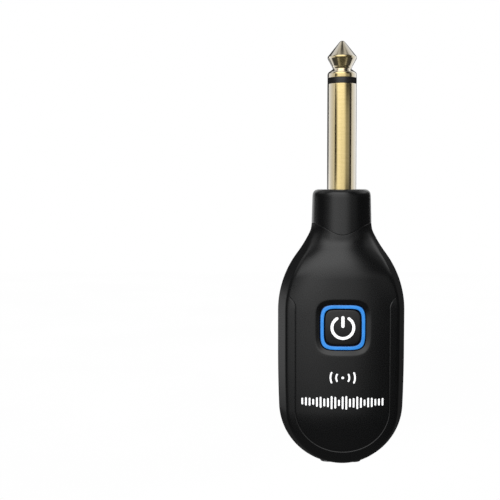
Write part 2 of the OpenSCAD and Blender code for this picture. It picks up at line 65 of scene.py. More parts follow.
# The marks stand proud of the case, so the case is sunk by a little more to keep them inside the CAD's box
PROUD, PRINT_ROOM = 0.012, 0.015
HALF_T = -front_low[1] - PRINT_ROOM
BUTTON_DROP = -(ring_low[2] + ring_high[2]) / 2
LIGHT_HALF = ring_high[0]
RECESS_T = HALF_T + ring_low[1]
PLUG_TOP = span("plug_tip")[1][2]
TIP_BASE = insulator_high[2]
SLEEVE_TOP = insulator_low[2]
PLUG_R = 6.35 / 2

# ---------------------------------------------------------------- form of the case, as in the CAD

CASE_LEN = 61.05
WALL, NECK_WALL, THINNING_FROM, THINNING_LEN = 1.5, 1.8, 10.0, 6.0
SIDE_DRAFT = math.radians(16.3)
CROWN_R = 29.0
COLLAR_R = 6.325
COLLAR_TAPER = math.radians(1.7)
SEAM_DROP, SEAM_SIDE, SEAM_GAP = 9.7, 7.3, 0.03
HIP_DROP, HIP_R, FLARE_ANGLE = 26.6, 21.3, math.radians(36.8)
FLARE_R, THROAT_ANGLE, THROAT_R = 28.0, math.radians(26), 3.8
BELLY_DROP, SIDE_R = 35.8, 300.0
BROW_DROP, BROW_R, NAPE_ANGLE, NAPE_R = 18.9, 14.3, math.radians(27.5), 4.0
BLEND_FROM, BLEND_TO = 7.8, 15.0
CREASE_SOFT = 0.5
BOTTOM_DROP = ((SIDE_R - HALF_W) ** 2 + BELLY_DROP**2 - (SIDE_R - CASE_LEN) ** 2) / (
    2 * (SIDE_R - CASE_LEN + BELLY_DROP))
BOTTOM_R = CASE_LEN - BOTTOM_DROP


def smooth(t):
    """Soft step from 0 to 1 while t goes from 0 to 1."""
    u = np.clip(t, 0, 1)
    return u * u * (3 - 2 * u)


def soft_min(a, b, k):
    """Smaller of two values, rounded over a width k where they are nearly equal."""
    h = np.maximum(k - np.abs(a - b), 0) / k
    return np.minimum(a, b) - h * h * k / 4


def arc_half(s, end, r, bend):
    """Half-width at drop s on an arc that ends at end = (drop, half-width, slope angle)."""
    rise = np.clip(math.sin(end[2]) + bend * (end[0] - s) / r, -1, 1)
    return end[1] - bend * r * (math.cos(end[2]) - np.sqrt(1 - rise**2))


def arc_start(end, r, bend, angle):
    """Other end (drop, half-width, slope angle) of that arc, where its slope has the given angle."""
    s = end[0] - bend * r * (math.sin(angle) - math.sin(end[2]))
    return s, float(arc_half(s, end, r, bend)), angle


HIP = (HIP_DROP, HALF_W, 0)
FLARE = arc_start(HIP, HIP_R, 1, FLARE_ANGLE)
THROAT = arc_start(FLARE, FLARE_R, -1, THROAT_ANGLE)
NECK = arc_start(THROAT, THROAT_R, -1, COLLAR_TAPER)
BROW = (BROW_DROP, HALF_T, 0)
SLOPE = arc_start(BROW, BROW_R, 1, NAPE_ANGLE)
NAPE = arc_start(SLOPE, NAPE_R, -1, COLLAR_TAPER)


def collar_r(s):
    """Radius of the tapered collar."""
    return COLLAR_R + s * math.tan(COLLAR_TAPER)


def side_half(s):
    """Half-width of the case at drop s."""
    belly = HALF_W - SIDE_R + np.sqrt(SIDE_R**2 - (s - BELLY_DROP) ** 2)
    return np.select(
        [s >= BELLY_DROP, s >= HIP[0], s >= FLARE[0], s >= THROAT[0], s >= NECK[0]],
        [belly, HALF_W + 0 * s, arc_half(s, HIP, HIP_R, 1), arc_half(s, FLARE, FLARE_R, -1),
         arc_half(s, THROAT, THROAT_R, -1)],
        collar_r(s))


def face_half(s):
    """Half-thickness of the case at drop s."""
    return np.select(
        [s >= BROW[0], s >= SLOPE[0], s >= NAPE[0]],
        [HALF_T + 0 * s, arc_half(s, BROW, BROW_R, 1), arc_half(s, SLOPE, NAPE_R, -1)],
        collar_r(s))


def crown_of(side):
    """Radius of the face's crown, tighter where the case is narrow."""
    return CROWN_R * (side / HALF_W) ** 2


def section_r(a, side, face, blend):
    """Distance from a section's centre to its edge, at angle a from the side (0) to the face (pi/2)."""
    c, s = np.cos(a), np.sin(a)
    crown = crown_of(side)
    oval = 1 / np.sqrt((c / side) ** 2 + (s / face) ** 2)
    flank = side / (c + s * math.tan(SIDE_DRAFT))
    dome = (face - crown) * s + np.sqrt(crown**2 - ((face - crown) * c) ** 2)
    return oval + (soft_min(flank, dome, CREASE_SOFT) - oval) * blend


def skin_t(s, skin):
    """Thickness taken off the form: skin is 0 for the outer surface and 1 for the inner."""
    return skin * (NECK_WALL + (WALL - NECK_WALL) * smooth((s - THINNING_FROM) / THINNING_LEN))


def surface_r(a, s, skin):
    """The same distance on the case at drop s, where the collar's round blends into the case's section."""
    t = skin_t(s, skin)
    blend = smooth((s - BLEND_FROM) / (BLEND_TO - BLEND_FROM))
    return section_r(a, side_half(s) - t, face_half(s) - t, blend)


def face_height(x, s, skin=0):
    """Height of the crowned face above the mid-plane, away from its edges."""
    t = skin_t(s, skin)
    crown = crown_of(side_half(s) - t)
    return face_half(s) - t - crown + np.sqrt(crown**2 - x**2)


def seam_at(x, extra):
    """Drop of the curved seam at a distance x from the axis: deepest in the middle, level at the sides."""
    turn = math.pi * np.minimum(np.abs(x) / collar_r(SEAM_DROP), 1)
    return SEAM_SIDE + (SEAM_DROP - SEAM_SIDE) * (1 + np.cos(turn)) / 2 + extra


# ---------------------------------------------------------------- mesh helpers


def make_piece(name, verts_mm, faces, slot, body="root", stands_for=(), sharp=30):
    """Adds a smooth-shaded mesh piece given in millimetres, riding on a CAD body in a CAD material slot."""
    mesh = bpy.data.meshes.new(name)
    mesh.from_pydata([tuple(v) for v in np.asarray(verts_mm) * MM], [], [tuple(f) for f in faces])
    mesh.validate()
    mesh.shade_smooth()
    mesh.set_sharp_from_angle(angle=math.radians(sharp))
    mesh.materials.append(FINISHES[slot])
    piece = bpy.data.objects.new(name, mesh)
    bpy.context.scene.collection.objects.link(piece)
    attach(piece, body)
    if stands_for:
        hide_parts(*stands_for)
    return piece


def grid_faces(rows, columns, start=0, wrap=False):
    """Quads of a grid of points stored row by row."""
    last = columns if wrap else columns - 1
    return [(start + i * columns + j, start + i * columns + (j + 1) % columns,
             start + (i + 1) * columns + (j + 1) % columns, start + (i + 1) * columns + j)
            for i in range(rows - 1) for j in range(last)]


def revolve(profile, segments):
    """Solid of revolution about Z from a closed outline of (radius, height) points."""
    turns = np.linspace(0, 2 * math.pi, segments, endpoint=False)
    verts = [(r * math.cos(t), r * math.sin(t), z) for r, z in profile for t in turns]
    faces = grid_faces(len(profile), segments, wrap=True)
    return merge_poles(np.array(verts), faces + closing_faces(len(profile), segments))


def closing_faces(rows, columns):
    """Quads from the last ring of points back to the first."""
    base = (rows - 1) * columns
    return [(base + j, base + (j + 1) % columns, (j + 1) % columns, j) for j in range(columns)]


def merge_poles(verts, faces):
    """Merges points that coincide and drops faces that collapse."""
    keys = {}
    order = []
    remap = np.empty(len(verts), int)
    for i, v in enumerate(np.round(verts, 6)):
        key = (v[0] + 0.0, v[1] + 0.0, v[2] + 0.0)
        if key not in keys:
            keys[key] = len(order)
            order.append(i)
        remap[i] = keys[key]
    clean = []
    for face in faces:
        loop = [remap[i] for i in face]
        loop = [v for k, v in enumerate(loop) if v != loop[k - 1]]
        if len(loop) > 2:
            clean.append(tuple(int(v) for v in loop))
    return verts[order], clean


# ---------------------------------------------------------------- shell surface

U_TOP, U_END_RUN, U_HALF, U_FLARE, U_BOTTOM = 22.8, 2.6, 10.0, 1.85, 9.1
# Depth of the U step against the distance from its line, and of the bevel along the parting line
U_STEP_AT = [-0.10, -0.03, 0.05, 0.12, 0.22, 0.32, 1.9]
U_STEP_DEPTH = [0.0, 0.02, 0.20, 0.22, 0.12, 0.10, 0.0]
U_STEP_FADE = 0.6
BEVEL_AT = [0, 0.02, 0.06, 0.14]
BEVEL_DEPTH = [0.07, 0.055, 0.015, 0]
# Patch of the mesh round the button: section angle of its sides, drops of its ends, columns on each side
PATCH_ANGLE = math.radians(46.3)
PATCH_TOP, PATCH_BOTTOM, PATCH_COLUMNS = 22.1, 36.5, 17
# Drop of the first level row, and how many gaps lie between the radial rows round the bottom
LEVEL_TOP = 12.8
FANS = 96


def u_line_half(s):
    """Half-width of the U-shaped step at drop s, flared out to the crease at its upper ends."""
    t = np.clip(1 - (s - U_TOP) / U_END_RUN, 0, 1)
    return (U_HALF + U_FLARE * t**2) * side_half(np.minimum(np.maximum(s, U_TOP), BELLY_DROP)) / HALF_W


def quarter_angles(side, face, u_half):
    """Section angles from the side to the middle of the face, dense at the parting line and the U step."""
    crown = float(crown_of(side))
    u_angle = math.atan2(face - crown + math.sqrt(crown**2 - u_half**2), u_half)
    near = 0.4 / u_half
    parting = np.radians([0, 0.08, 0.2, 0.4, 0.7, 1.2])
    return np.concatenate([
        parting,
        np.linspace(np.radians(2), u_angle - near, 26, endpoint=False),
        np.linspace(u_angle - near, u_angle + near, 14, endpoint=False),
        np.linspace(u_angle + near, PATCH_ANGLE, 8, endpoint=False),
        np.linspace(PATCH_ANGLE, math.pi / 2, PATCH_COLUMNS + 1)])


def step_depth(rho, u_half, s):
    """How far the band outside the U step lies below the form."""
    fade = smooth((s - U_TOP) / U_STEP_FADE)
    return fade * np.interp(rho - u_half, U_STEP_AT, U_STEP_DEPTH)


def relief(r, a, u_half, s, skin):
    """Half-width and height of a section's points; the outer ones lose the parting bevel and the U step."""
    if skin:
        return r * np.cos(a), r * np.sin(a)
    height = r * np.sin(a)
    r = r - np.interp(height, BEVEL_AT, BEVEL_DEPTH)
    rho = r * np.cos(a)
    return rho, r * np.sin(a) - step_depth(rho, u_half, s)


def level_drops():
    """Drops of the level rows, with one row at each end of the patch round the button."""
    return np.concatenate([
        np.linspace(LEVEL_TOP, PATCH_TOP, 28, endpoint=False),
        np.linspace(PATCH_TOP, HIP_DROP, 26, endpoint=False),
        np.linspace(HIP_DROP, PATCH_BOTTOM, 14, endpoint=False),
        np.linspace(PATCH_BOTTOM, BOTTOM_DROP, 12)])


# Rows between the curved seam and the first level row, as distances below the seam, and the seam's soft edge
SEAM_STEPS = np.array([0, 0.015, 0.04, 0.08, 0.14, 0.24, 0.45, 0.8, 1.2, 1.7, 2.2, 2.7])
SEAM_REACH = 3.2
SEAM_EDGE = [0.05, 0.03, 0.01, 0]


def ring_row(index, levels, skin):
    """Points of one level or nearly level row of a half shell, from the right parting edge to the left."""
    s_level = levels[index - len(SEAM_STEPS)] if index >= len(SEAM_STEPS) else levels[0]
    s_line = max(s_level, U_TOP)
    u_half = float(u_line_half(s_line))
    quarter = quarter_angles(float(side_half(s_line)), float(face_half(s_line)), u_half)
    a = np.concatenate([quarter, math.pi - quarter[-2::-1]])
    fold = np.minimum(a, math.pi - a)
    if index >= len(SEAM_STEPS):
        s = np.full_like(a, s_level)
    else:
        top = seam_at((collar_r(SEAM_DROP) - skin * NECK_WALL) * np.cos(a), SEAM_GAP)
        s = top + (levels[0] - top) * SEAM_STEPS[index] / SEAM_REACH
    r = surface_r(fold, s, skin)
    if not skin and index < len(SEAM_EDGE):
        r = r - SEAM_EDGE[index]
    rho, height = relief(r, fold, u_half, s, skin)
    return np.column_stack([np.sign(math.pi / 2 - a) * rho, height, -s])


def fan_row(index, skin):
    """Points of one radial row round the bottom, from the parting edge to just short of the pole."""
    turn = math.pi * index / FANS
    u_half = U_HALF + (U_BOTTOM - U_HALF) * math.sin(turn) ** 2
    a = quarter_angles(BOTTOM_R, HALF_T, u_half)[:-1]
    t = skin * WALL
    r = section_r(a, BOTTOM_R - t, HALF_T - t, 1)
    rho, height = relief(r, a, u_half, BOTTOM_DROP, skin)
    return np.column_stack([rho * math.cos(turn), height, -BOTTOM_DROP - rho * math.sin(turn)])


def squircle_r(angle, half, power):
    """Radius of a square with soft corners, in the direction of angle."""
    return half / (np.abs(np.cos(angle)) ** power + np.abs(np.sin(angle)) ** power) ** (1 / power)


# Contours of the button's recess from the light ring outwards: half-width, corner power, depth
RECESS = [(4.99, 4.6, 0.62), (4.99, 4.6, 0.45), (5.01, 4.6, 0.41), (5.05, 4.6, 0.39), (5.15, 4.5, 0.35),
          (5.3, 4.4, 0.28), (5.5, 4.25, 0.185), (5.66, 4.15, 0.11), (5.78, 4.05, 0.06), (5.88, 4.0, 0.025),
          (5.98, 4.0, 0.006), (6.1, 4.0, 0.0)]
# Shares of the way from the recess to the patch's own edge
MORPH = [0.25, 0.5, 0.75]


def patch_ring(loop, level, skin):
    """One ring of points of the patch round the button, inside the grid's own boundary loop."""
    centre = np.array([0, -BUTTON_DROP])
    flat = loop[:, [0, 2]] - centre
    angle = np.arctan2(flat[:, 1], flat[:, 0])
    half, power, depth = RECESS[min(level, len(RECESS) - 1)]
    r = squircle_r(angle, half, power)
    contour = np.column_stack([r * np.cos(angle), r * np.sin(angle)])
    if level >= len(RECESS):
        share = MORPH[level - len(RECESS)]
        contour = contour + (flat - contour) * share
    x, z = contour[:, 0], contour[:, 1] + centre[1]
    return np.column_stack([x, face_height(x, -z, skin) - (0 if skin else depth), z])


def half_sheet(skin, has_button):
    """Outer or inner sheet of a half shell: points, faces, rim loop, seam loop and tunnel loop."""
    levels = level_drops()
    rows = [ring_row(i, levels, skin) for i in range(len(SEAM_STEPS) + len(levels))]
    columns = len(rows[0])
    quarter = (columns - 1) // 2
    fans = [fan_row(i, skin) for i in range(1, FANS)]
    points = np.vstack(rows + fans)
    last = len(rows) - 1

    def ring_index(k, j):
        return k * columns + j

    def fan_index(i, j):
        if i == 0 or j == quarter:
            return ring_index(last, j)
        if i == FANS:
            return ring_index(last, columns - 1 - j)
        return len(rows) * columns + (i - 1) * quarter + j

    top = len(SEAM_STEPS) + int(np.argmin(np.abs(levels - PATCH_TOP)))
    bottom = len(SEAM_STEPS) + int(np.argmin(np.abs(levels - PATCH_BOTTOM)))
    right = quarter - PATCH_COLUMNS
    left = columns - 1 - right

    def in_patch(k, j):
        return has_button and top <= k < bottom and right <= j < left

    faces = [(ring_index(k, j), ring_index(k, j + 1), ring_index(k + 1, j + 1), ring_index(k + 1, j))
             for k in range(last) for j in range(columns - 1) if not in_patch(k, j)]
    faces += [(fan_index(i, j), fan_index(i, j + 1), fan_index(i + 1, j + 1), fan_index(i + 1, j))
              for i in range(FANS) for j in range(quarter)]

    tunnel = []
    if has_button:
        loop = [ring_index(top, j) for j in range(right, left)]
        loop += [ring_index(k, left) for k in range(top, bottom)]
        loop += [ring_index(bottom, j) for j in range(left, right, -1)]
        loop += [ring_index(k, right) for k in range(bottom, top, -1)]
        boundary = points[loop]
        n = len(loop)
        start = len(points)
        rings = [patch_ring(boundary, i, skin) for i in range(len(RECESS) + len(MORPH))]
        points = np.vstack([points] + rings)
        chains = [[start + i * n + j for j in range(n)] for i in range(len(rings))] + [loop]
        for inside, outside in zip(chains, chains[1:]):
            faces += strip(outside, inside, closed=True)
        tunnel = chains[0]

    rim = [ring_index(k, 0) for k in range(len(rows))]
    rim += [fan_index(i, 0) for i in range(1, FANS)]
    rim += [ring_index(k, columns - 1) for k in range(last, -1, -1)]
    seam = list(range(columns))
    return points, faces, rim, seam, tunnel


def strip(a, b, closed=False):
    """Quads between two chains of points of the same length."""
    n = len(a)
    return [(a[i], a[(i + 1) % n], b[(i + 1) % n], b[i]) for i in range(n if closed else n - 1)]


def half_shell(face, has_button):
    """Closed mesh of a half shell: face is -1 for the front and 1 for the rear."""
    outer, outer_faces, rim, seam, tunnel = half_sheet(0, has_button)
    inner, inner_faces, rim_in, seam_in, tunnel_in = half_sheet(1, has_button)
    shift = len(outer)
    faces = outer_faces + [tuple(shift + i for i in reversed(f)) for f in inner_faces]
    faces += strip(rim, [shift + i for i in rim_in])
    faces += [tuple(reversed(f)) for f in strip(seam, [shift + i for i in seam_in])]
    if has_button:
        faces += strip(tunnel, [shift + i for i in tunnel_in], closed=True)
    points = np.vstack([outer, inner]) * [1, face, 1]
    if face > 0:
        faces = [tuple(reversed(f)) for f in faces]
    return drop_loose(*merge_poles(points, faces))


def drop_loose(points, faces):
    """Leaves out the points that no face uses."""
    used = np.zeros(len(points), bool)
    for f in faces:
        used[list(f)] = True
    renumber = np.cumsum(used) - 1
    return points[used], [tuple(int(renumber[i]) for i in f) for f in faces]


# ---------------------------------------------------------------- materials

# Range that most of the noise's values lie in
NOISE_LOW, NOISE_HIGH = 0.3, 0.7


class Shader:
    """A procedural material built step by step round one Principled node."""

    def __init__(self, name):
        self.material = bpy.data.materials.new(name)
        self.material.use_nodes = True
        self.tree = self.material.node_tree
        self.surface = self.tree.nodes["Principled BSDF"]
        self.place = self.add("ShaderNodeTexCoord").outputs["Object"]

    def add(self, kind, **values):
        """New node with the given settings."""
        node = self.tree.nodes.new(kind)
        for key, value in values.items():
            setattr(node, key, value)
        return node

    def link(self, source, target):
        self.tree.links.new(source, target)

    def noise(self, size_mm, stretch=(1, 1, 1)):
        """Noise whose features are about size_mm across."""
        mapping = self.add("ShaderNodeMapping")
        mapping.inputs["Scale"].default_value = stretch
        self.link(self.place, mapping.inputs["Vector"])
        noise = self.add("ShaderNodeTexNoise")
        noise.inputs["Scale"].default_value = 1 / (size_mm * MM)
        noise.inputs["Detail"].default_value = 3
        self.link(mapping.outputs["Vector"], noise.inputs["Vector"])
        return noise.outputs["Fac"]

    def spread(self, value, low, high):
        """A value near one half, spread to a range."""
        spread = self.add("ShaderNodeMapRange")
        spread.inputs["From Min"].default_value = NOISE_LOW
        spread.inputs["From Max"].default_value = NOISE_HIGH
        spread.inputs["To Min"].default_value = low
        spread.inputs["To Max"].default_value = high
        self.link(value, spread.inputs["Value"])
        return spread.outputs["Result"]

    def colours(self, value, dark, light):
        """A value near one half, turned into a colour between dark and light."""
        ramp = self.add("ShaderNodeValToRGB")
        ramp.color_ramp.elements[0].position = NOISE_LOW
        ramp.color_ramp.elements[1].position = NOISE_HIGH
        ramp.color_ramp.elements[0].color = (*dark, 1)
        ramp.color_ramp.elements[1].color = (*light, 1)
        self.link(value, ramp.inputs["Fac"])
        return ramp.outputs["Color"]

    def relief(self, value, depth_mm):
        """Fine surface grain of the given depth."""
        bump = self.add("ShaderNodeBump")
        bump.inputs["Strength"].default_value = 1
        bump.inputs["Distance"].default_value = depth_mm * MM
        self.link(value, bump.inputs["Height"])
        self.link(bump.outputs["Normal"], self.surface.inputs["Normal"])

    def set(self, **values):
        """Plain values for the surface's inputs, with _ for each space in their names."""
        for key, value in values.items():
            self.surface.inputs[key.replace("_", " ")].default_value = value


def finish_of(name, dark, light, rough, grain_mm, grain_depth_mm, mottle_mm=4.0, **values):
    """A material with mottled colour, uneven gloss and a fine surface grain."""
    shader = Shader(name)
    mottle = shader.noise(mottle_mm)
    grain = shader.noise(grain_mm)
    shader.link(shader.colours(mottle, dark, light), shader.surface.inputs["Base Color"])
    shader.link(shader.spread(grain, rough[0], rough[1]), shader.surface.inputs["Roughness"])
    shader.relief(grain, grain_depth_mm)
    shader.set(**values)
    return shader.material


def satin_black():
    return finish_of("moulded_case_black", (0.0038, 0.0039, 0.0042), (0.0056, 0.0058, 0.0062),
                     (0.25, 0.31), grain_mm=0.16, grain_depth_mm=0.0006, mottle_mm=6, IOR=1.49)


def button_black():
    return finish_of("moulded_button_black", (0.0035, 0.0035, 0.0039), (0.0052, 0.0052, 0.0056),
                     (0.30, 0.36), grain_mm=0.12, grain_depth_mm=0.0008, IOR=1.49)


def gold():
    """Polished gold plate with a painted sheen: its colour is mixed towards near-white where it is seen
    edge-on.
    """
    shader = Shader("polished_gold_plate")
    mottle = shader.noise(3, stretch=(1, 1, 6))
    brushing = shader.noise(0.5, stretch=(1, 1, 6))
    # Painted sheen: the Facing value lifts the base colour towards near-white on edge-on surfaces, standing
    # in for a reflection.
    painted_sheen = shader.add("ShaderNodeMapRange")
    painted_sheen.inputs["From Min"].default_value = 0.08
    painted_sheen.inputs["From Max"].default_value = 0.6
    shader.link(shader.add("ShaderNodeLayerWeight").outputs["Facing"], painted_sheen.inputs["Value"])
    tone = shader.add("ShaderNodeMix", data_type="RGBA")
    tone.inputs["B"].default_value = (0.96, 0.92, 0.84, 1)
    shader.link(painted_sheen.outputs["Result"], tone.inputs["Factor"])
    shader.link(shader.colours(mottle, (0.58, 0.46, 0.21), (0.63, 0.50, 0.24)), tone.inputs["A"])
    shader.link(tone.outputs["Result"], shader.surface.inputs["Base Color"])
    shader.link(shader.spread(brushing, 0.10, 0.16), shader.surface.inputs["Roughness"])
    shader.relief(brushing, 0.0004)
    shader.set(Metallic=1)
    return shader.material


def ring_black():
    return finish_of("plug_ring_black", (0.010, 0.010, 0.010), (0.02, 0.019, 0.018), (0.28, 0.36),
                     grain_mm=0.2, grain_depth_mm=0.001, IOR=1.5)


def glowing_blue():
    """Blue light guide, lit from behind by its own lamps: its front glows, and its rounded edges have a
    painted shade, darkened to navy by the way they face.
    """
    shader = Shader("light_guide_blue")
    mottle = shader.noise(2.5)
    colour = shader.colours(mottle, (0.024, 0.225, 0.66), (0.038, 0.265, 0.76))
    # Which way the surface faces sets where the real glow shows, only on the front, and the painted navy
    # shade on the edges.
    facing = shader.add("ShaderNodeVectorMath", operation="DOT_PRODUCT")
    shader.link(shader.add("ShaderNodeTexCoord").outputs["Normal"], facing.inputs[0])
    facing.inputs[1].default_value = (0, -1, 0)
    front = shader.add("ShaderNodeMapRange", interpolation_type="SMOOTHSTEP")
    front.inputs["From Min"].default_value = 0.86
    front.inputs["From Max"].default_value = 0.98
    shader.link(facing.outputs["Value"], front.inputs["Value"])
    glow = shader.add("ShaderNodeMath", operation="MULTIPLY")
    shader.link(shader.spread(mottle, 0.47, 0.53), glow.inputs[0])
    shader.link(front.outputs["Result"], glow.inputs[1])
    shade = shader.add("ShaderNodeMix", data_type="RGBA")
    shade.inputs["A"].default_value = (0.004, 0.018, 0.07, 1)
    shader.link(front.outputs["Result"], shade.inputs["Factor"])
    shader.link(colour, shade.inputs["B"])
    shader.link(shade.outputs["Result"], shader.surface.inputs["Base Color"])
    shader.link(colour, shader.surface.inputs["Emission Color"])
    shader.link(glow.outputs["Value"], shader.surface.inputs["Emission Strength"])
    shader.relief(shader.noise(0.3), 0.001)
    shader.set(Roughness=0.35)
    return shader.material


def bright_white():
    """White that glows softly: the lit symbol glows with its own light, and the printed marks, which use
    this white too, get the same glow as painted light.
    """
    shader = Shader("icon_white")
    mottle = shader.noise(1.5)
    colour = shader.colours(mottle, (0.86, 0.87, 0.88), (0.92, 0.92, 0.92))
    shader.link(colour, shader.surface.inputs["Base Color"])
    # Emission: real light in the lit symbol, painted light in the printed marks.
    shader.link(colour, shader.surface.inputs["Emission Color"])
    shader.link(shader.spread(mottle, 0.7125, 0.7875), shader.surface.inputs["Emission Strength"])
    shader.relief(shader.noise(0.1), 0.0006)
    shader.set(Roughness=0.5)
    return shader.material


def metal(name, dark, light, rough=(0.22, 0.34)):
    return finish_of(name, dark, light, rough, grain_mm=0.25, grain_depth_mm=0.001, mottle_mm=2, Metallic=1)


def plastic(name, dark, light, rough=(0.4, 0.55)):
    return finish_of(name, dark, light, rough, grain_mm=0.2, grain_depth_mm=0.002, mottle_mm=2.5)


def board_green():
    """Solder mask with a faint weave of glass cloth below it."""
    shader = Shader("board_green")
    weave = shader.add("ShaderNodeTexWave", wave_type="BANDS", bands_direction="DIAGONAL")
    weave.inputs["Scale"].default_value = 1400
    weave.inputs["Distortion"].default_value = 2
    shader.link(shader.place, weave.inputs["Vector"])
    shader.link(shader.colours(weave.outputs["Fac"], (0.010, 0.10, 0.045), (0.016, 0.15, 0.065)),
                shader.surface.inputs["Base Color"])
    shader.link(shader.spread(shader.noise(0.6), 0.22, 0.36), shader.surface.inputs["Roughness"])
    shader.relief(weave.outputs["Fac"], 0.003)
    shader.set(Coat_Weight=0.4)
    return shader.material


FINISHES = {
    "case_black": satin_black(),
    "button_black": button_black(),
    "icon_white": bright_white(),
    "ring_blue": glowing_blue(),
    "plug_gold": gold(),
    "plug_black": ring_black(),
    "insulation_white": plastic("insulation_white", (0.72, 0.71, 0.66), (0.84, 0.83, 0.79)),
    "steel": metal("brushed_steel", (0.42, 0.42, 0.43), (0.60, 0.60, 0.61)),
    "screw_black": metal("blackened_screw_steel", (0.055, 0.055, 0.06), (0.11, 0.11, 0.115)),
    "tinned_metal": metal("tinned_metal", (0.55, 0.55, 0.54), (0.72, 0.72, 0.70), (0.3, 0.45)),
    "board_green": board_green(),
    "board_tan": plastic("board_tan", (0.42, 0.27, 0.12), (0.58, 0.40, 0.20)),
    "chip_black": plastic("chip_black", (0.014, 0.014, 0.015), (0.028, 0.028, 0.029)),
    "battery_foil": metal("battery_foil", (0.46, 0.47, 0.49), (0.62, 0.63, 0.65), (0.3, 0.5)),
    "foam_grey": plastic("foam_grey", (0.10, 0.10, 0.105), (0.19, 0.19, 0.195), (0.8, 0.95)),
    "wire_red": plastic("wire_red", (0.42, 0.018, 0.014), (0.58, 0.035, 0.025)),
    "wire_black": plastic("wire_black", (0.012, 0.012, 0.012), (0.024, 0.024, 0.024)),
}

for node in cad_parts.values():
    for index, old in enumerate(node.data.materials):
        node.data.materials[index] = FINISHES[old.name]

# ---------------------------------------------------------------- pieces: case and collar


def case_shell(name, face, node):
    points, faces = half_shell(face, has_button=face < 0)
    return make_piece(name, points, faces, "case_black", stands_for=[node])


def prism(outline, low, high, to_world):
    """Closed prism with the given flat outline; to_world turns (u, v, height) into (x, y, z)."""
    n = len(outline)
    points = [to_world(u, v, h) for h in (low, high) for u, v in outline]
    faces = [tuple(range(n - 1, -1, -1)), tuple(range(n, 2 * n))]
    faces += [(i, (i + 1) % n, n + (i + 1) % n, n + i) for i in range(n)]
    return points, faces


def carve(piece, *prisms):
    """Cuts closed prisms out of a piece and marks the new sharp edges."""
    points, faces = [], []
    for more_points, more_faces in prisms:
        faces += [tuple(len(points) + i for i in face) for face in more_faces]
        points += more_points
    mesh = bpy.data.meshes.new("cutter")
    mesh.from_pydata([tuple(c * MM for c in point) for point in points], [], faces)
    cutter = bpy.data.objects.new("cutter", mesh)
    bpy.context.scene.collection.objects.link(cutter)
    cut = piece.modifiers.new("cut", "BOOLEAN")
    cut.operation, cut.solver, cut.object = "DIFFERENCE", "EXACT", cutter
    carved = bpy.data.meshes.new_from_object(piece.evaluated_get(bpy.context.evaluated_depsgraph_get()))
    piece.modifiers.clear()
    bpy.data.objects.remove(cutter)
    piece.data = carved
    carved.set_sharp_from_angle(angle=math.radians(30))


def stadium(half_w, half_h, steps=24):
    """Outline with straight long sides and round ends."""
    right = [(half_w - half_h + half_h * math.cos(a), half_h * math.sin(a))
             for a in np.linspace(-math.pi / 2, math.pi / 2, steps)]
    return right + [(-x, -y) for x, y in right]


PORT_HALF_W, PORT_HALF_T = 4.7, 1.75
PORT_FROM, PORT_TO = -70, -54


def port_cutter():
    """Opening of the charging socket, through the bottom end."""
    return prism(stadium(PORT_HALF_W, PORT_HALF_T), PORT_FROM, PORT_TO, lambda u, v, h: (u, v, h))


SCREW_X, SCREW_DROPS = 9.3, (24, 49.5)
POCKET_R, POCKET_FLOOR, POCKET_TO = 1.5, 5.85, 10


def screw_pockets():
    """Round pockets in the rear shell, open to the back, one for each screw's head."""
    circle = [(POCKET_R * math.cos(a), POCKET_R * math.sin(a))
              for a in np.linspace(0, 2 * math.pi, 64, endpoint=False)]
    return [prism([(x + u, v - drop) for u, v in reversed(circle)], POCKET_FLOOR, POCKET_TO,
                  lambda u, v, h: (u, h, v))
            for x in (-SCREW_X, SCREW_X) for drop in SCREW_DROPS]


front = case_shell("case_front", -1, "front_shell")
rear = case_shell("case_rear", 1, "rear_shell")
carve(front, port_cutter())
carve(rear, port_cutter(), *screw_pockets())

SHOULDER_R, SHOULDER_DROP = PLUG_R + 0.5, 2.2
COLLAR_TURNS = 256


def collar():
    """Tapered ring with a rounded top edge; its lower edge follows the curved seam."""
    top_fillet, edge, hole_edge = 1.2, 0.05, 0.06
    hole = SHOULDER_R + 0.05
    inner = collar_r(SEAM_DROP) - NECK_WALL
    turns = np.linspace(0, 2 * math.pi, COLLAR_TURNS, endpoint=False)
    low = [-seam_at(collar_r(SEAM_DROP) * math.cos(t), 0) for t in turns]

    def level(r, z):
        return [(r, z)] * COLLAR_TURNS

    rows = [level(hole, -SHOULDER_DROP), level(hole, -hole_edge), level(hole + hole_edge, 0)]
    for angle in np.radians(np.linspace(90, 0, 10)):
        r = collar_r(0) - top_fillet + top_fillet * math.cos(angle)
        rows.append(level(r, top_fillet * (math.sin(angle) - 1)))
    for share in np.linspace(0.04, 1, 40):
        heights = [-top_fillet + (z + edge + top_fillet) * share for z in low]
        rows.append([(collar_r(-z), z) for z in heights])
    for angle in np.radians([-22, -45, -68, -90]):
        rows.append([(collar_r(-z) - edge + edge * math.cos(angle), z + edge + edge * math.sin(angle))
                     for z in low])
    rows.append([(inner, z) for z in low])
    rows.append(level(inner, -SHOULDER_DROP))
    rows.reverse()
    points = [(r * math.cos(t), r * math.sin(t), z) for row in rows for t, (r, z) in zip(turns, row)]
    faces = grid_faces(len(rows), COLLAR_TURNS, wrap=True) + closing_faces(len(rows), COLLAR_TURNS)
    return make_piece("collar_sleeve", points, faces, "case_black", stands_for=["collar"])


neck = collar()

# ---------------------------------------------------------------- pieces: plug


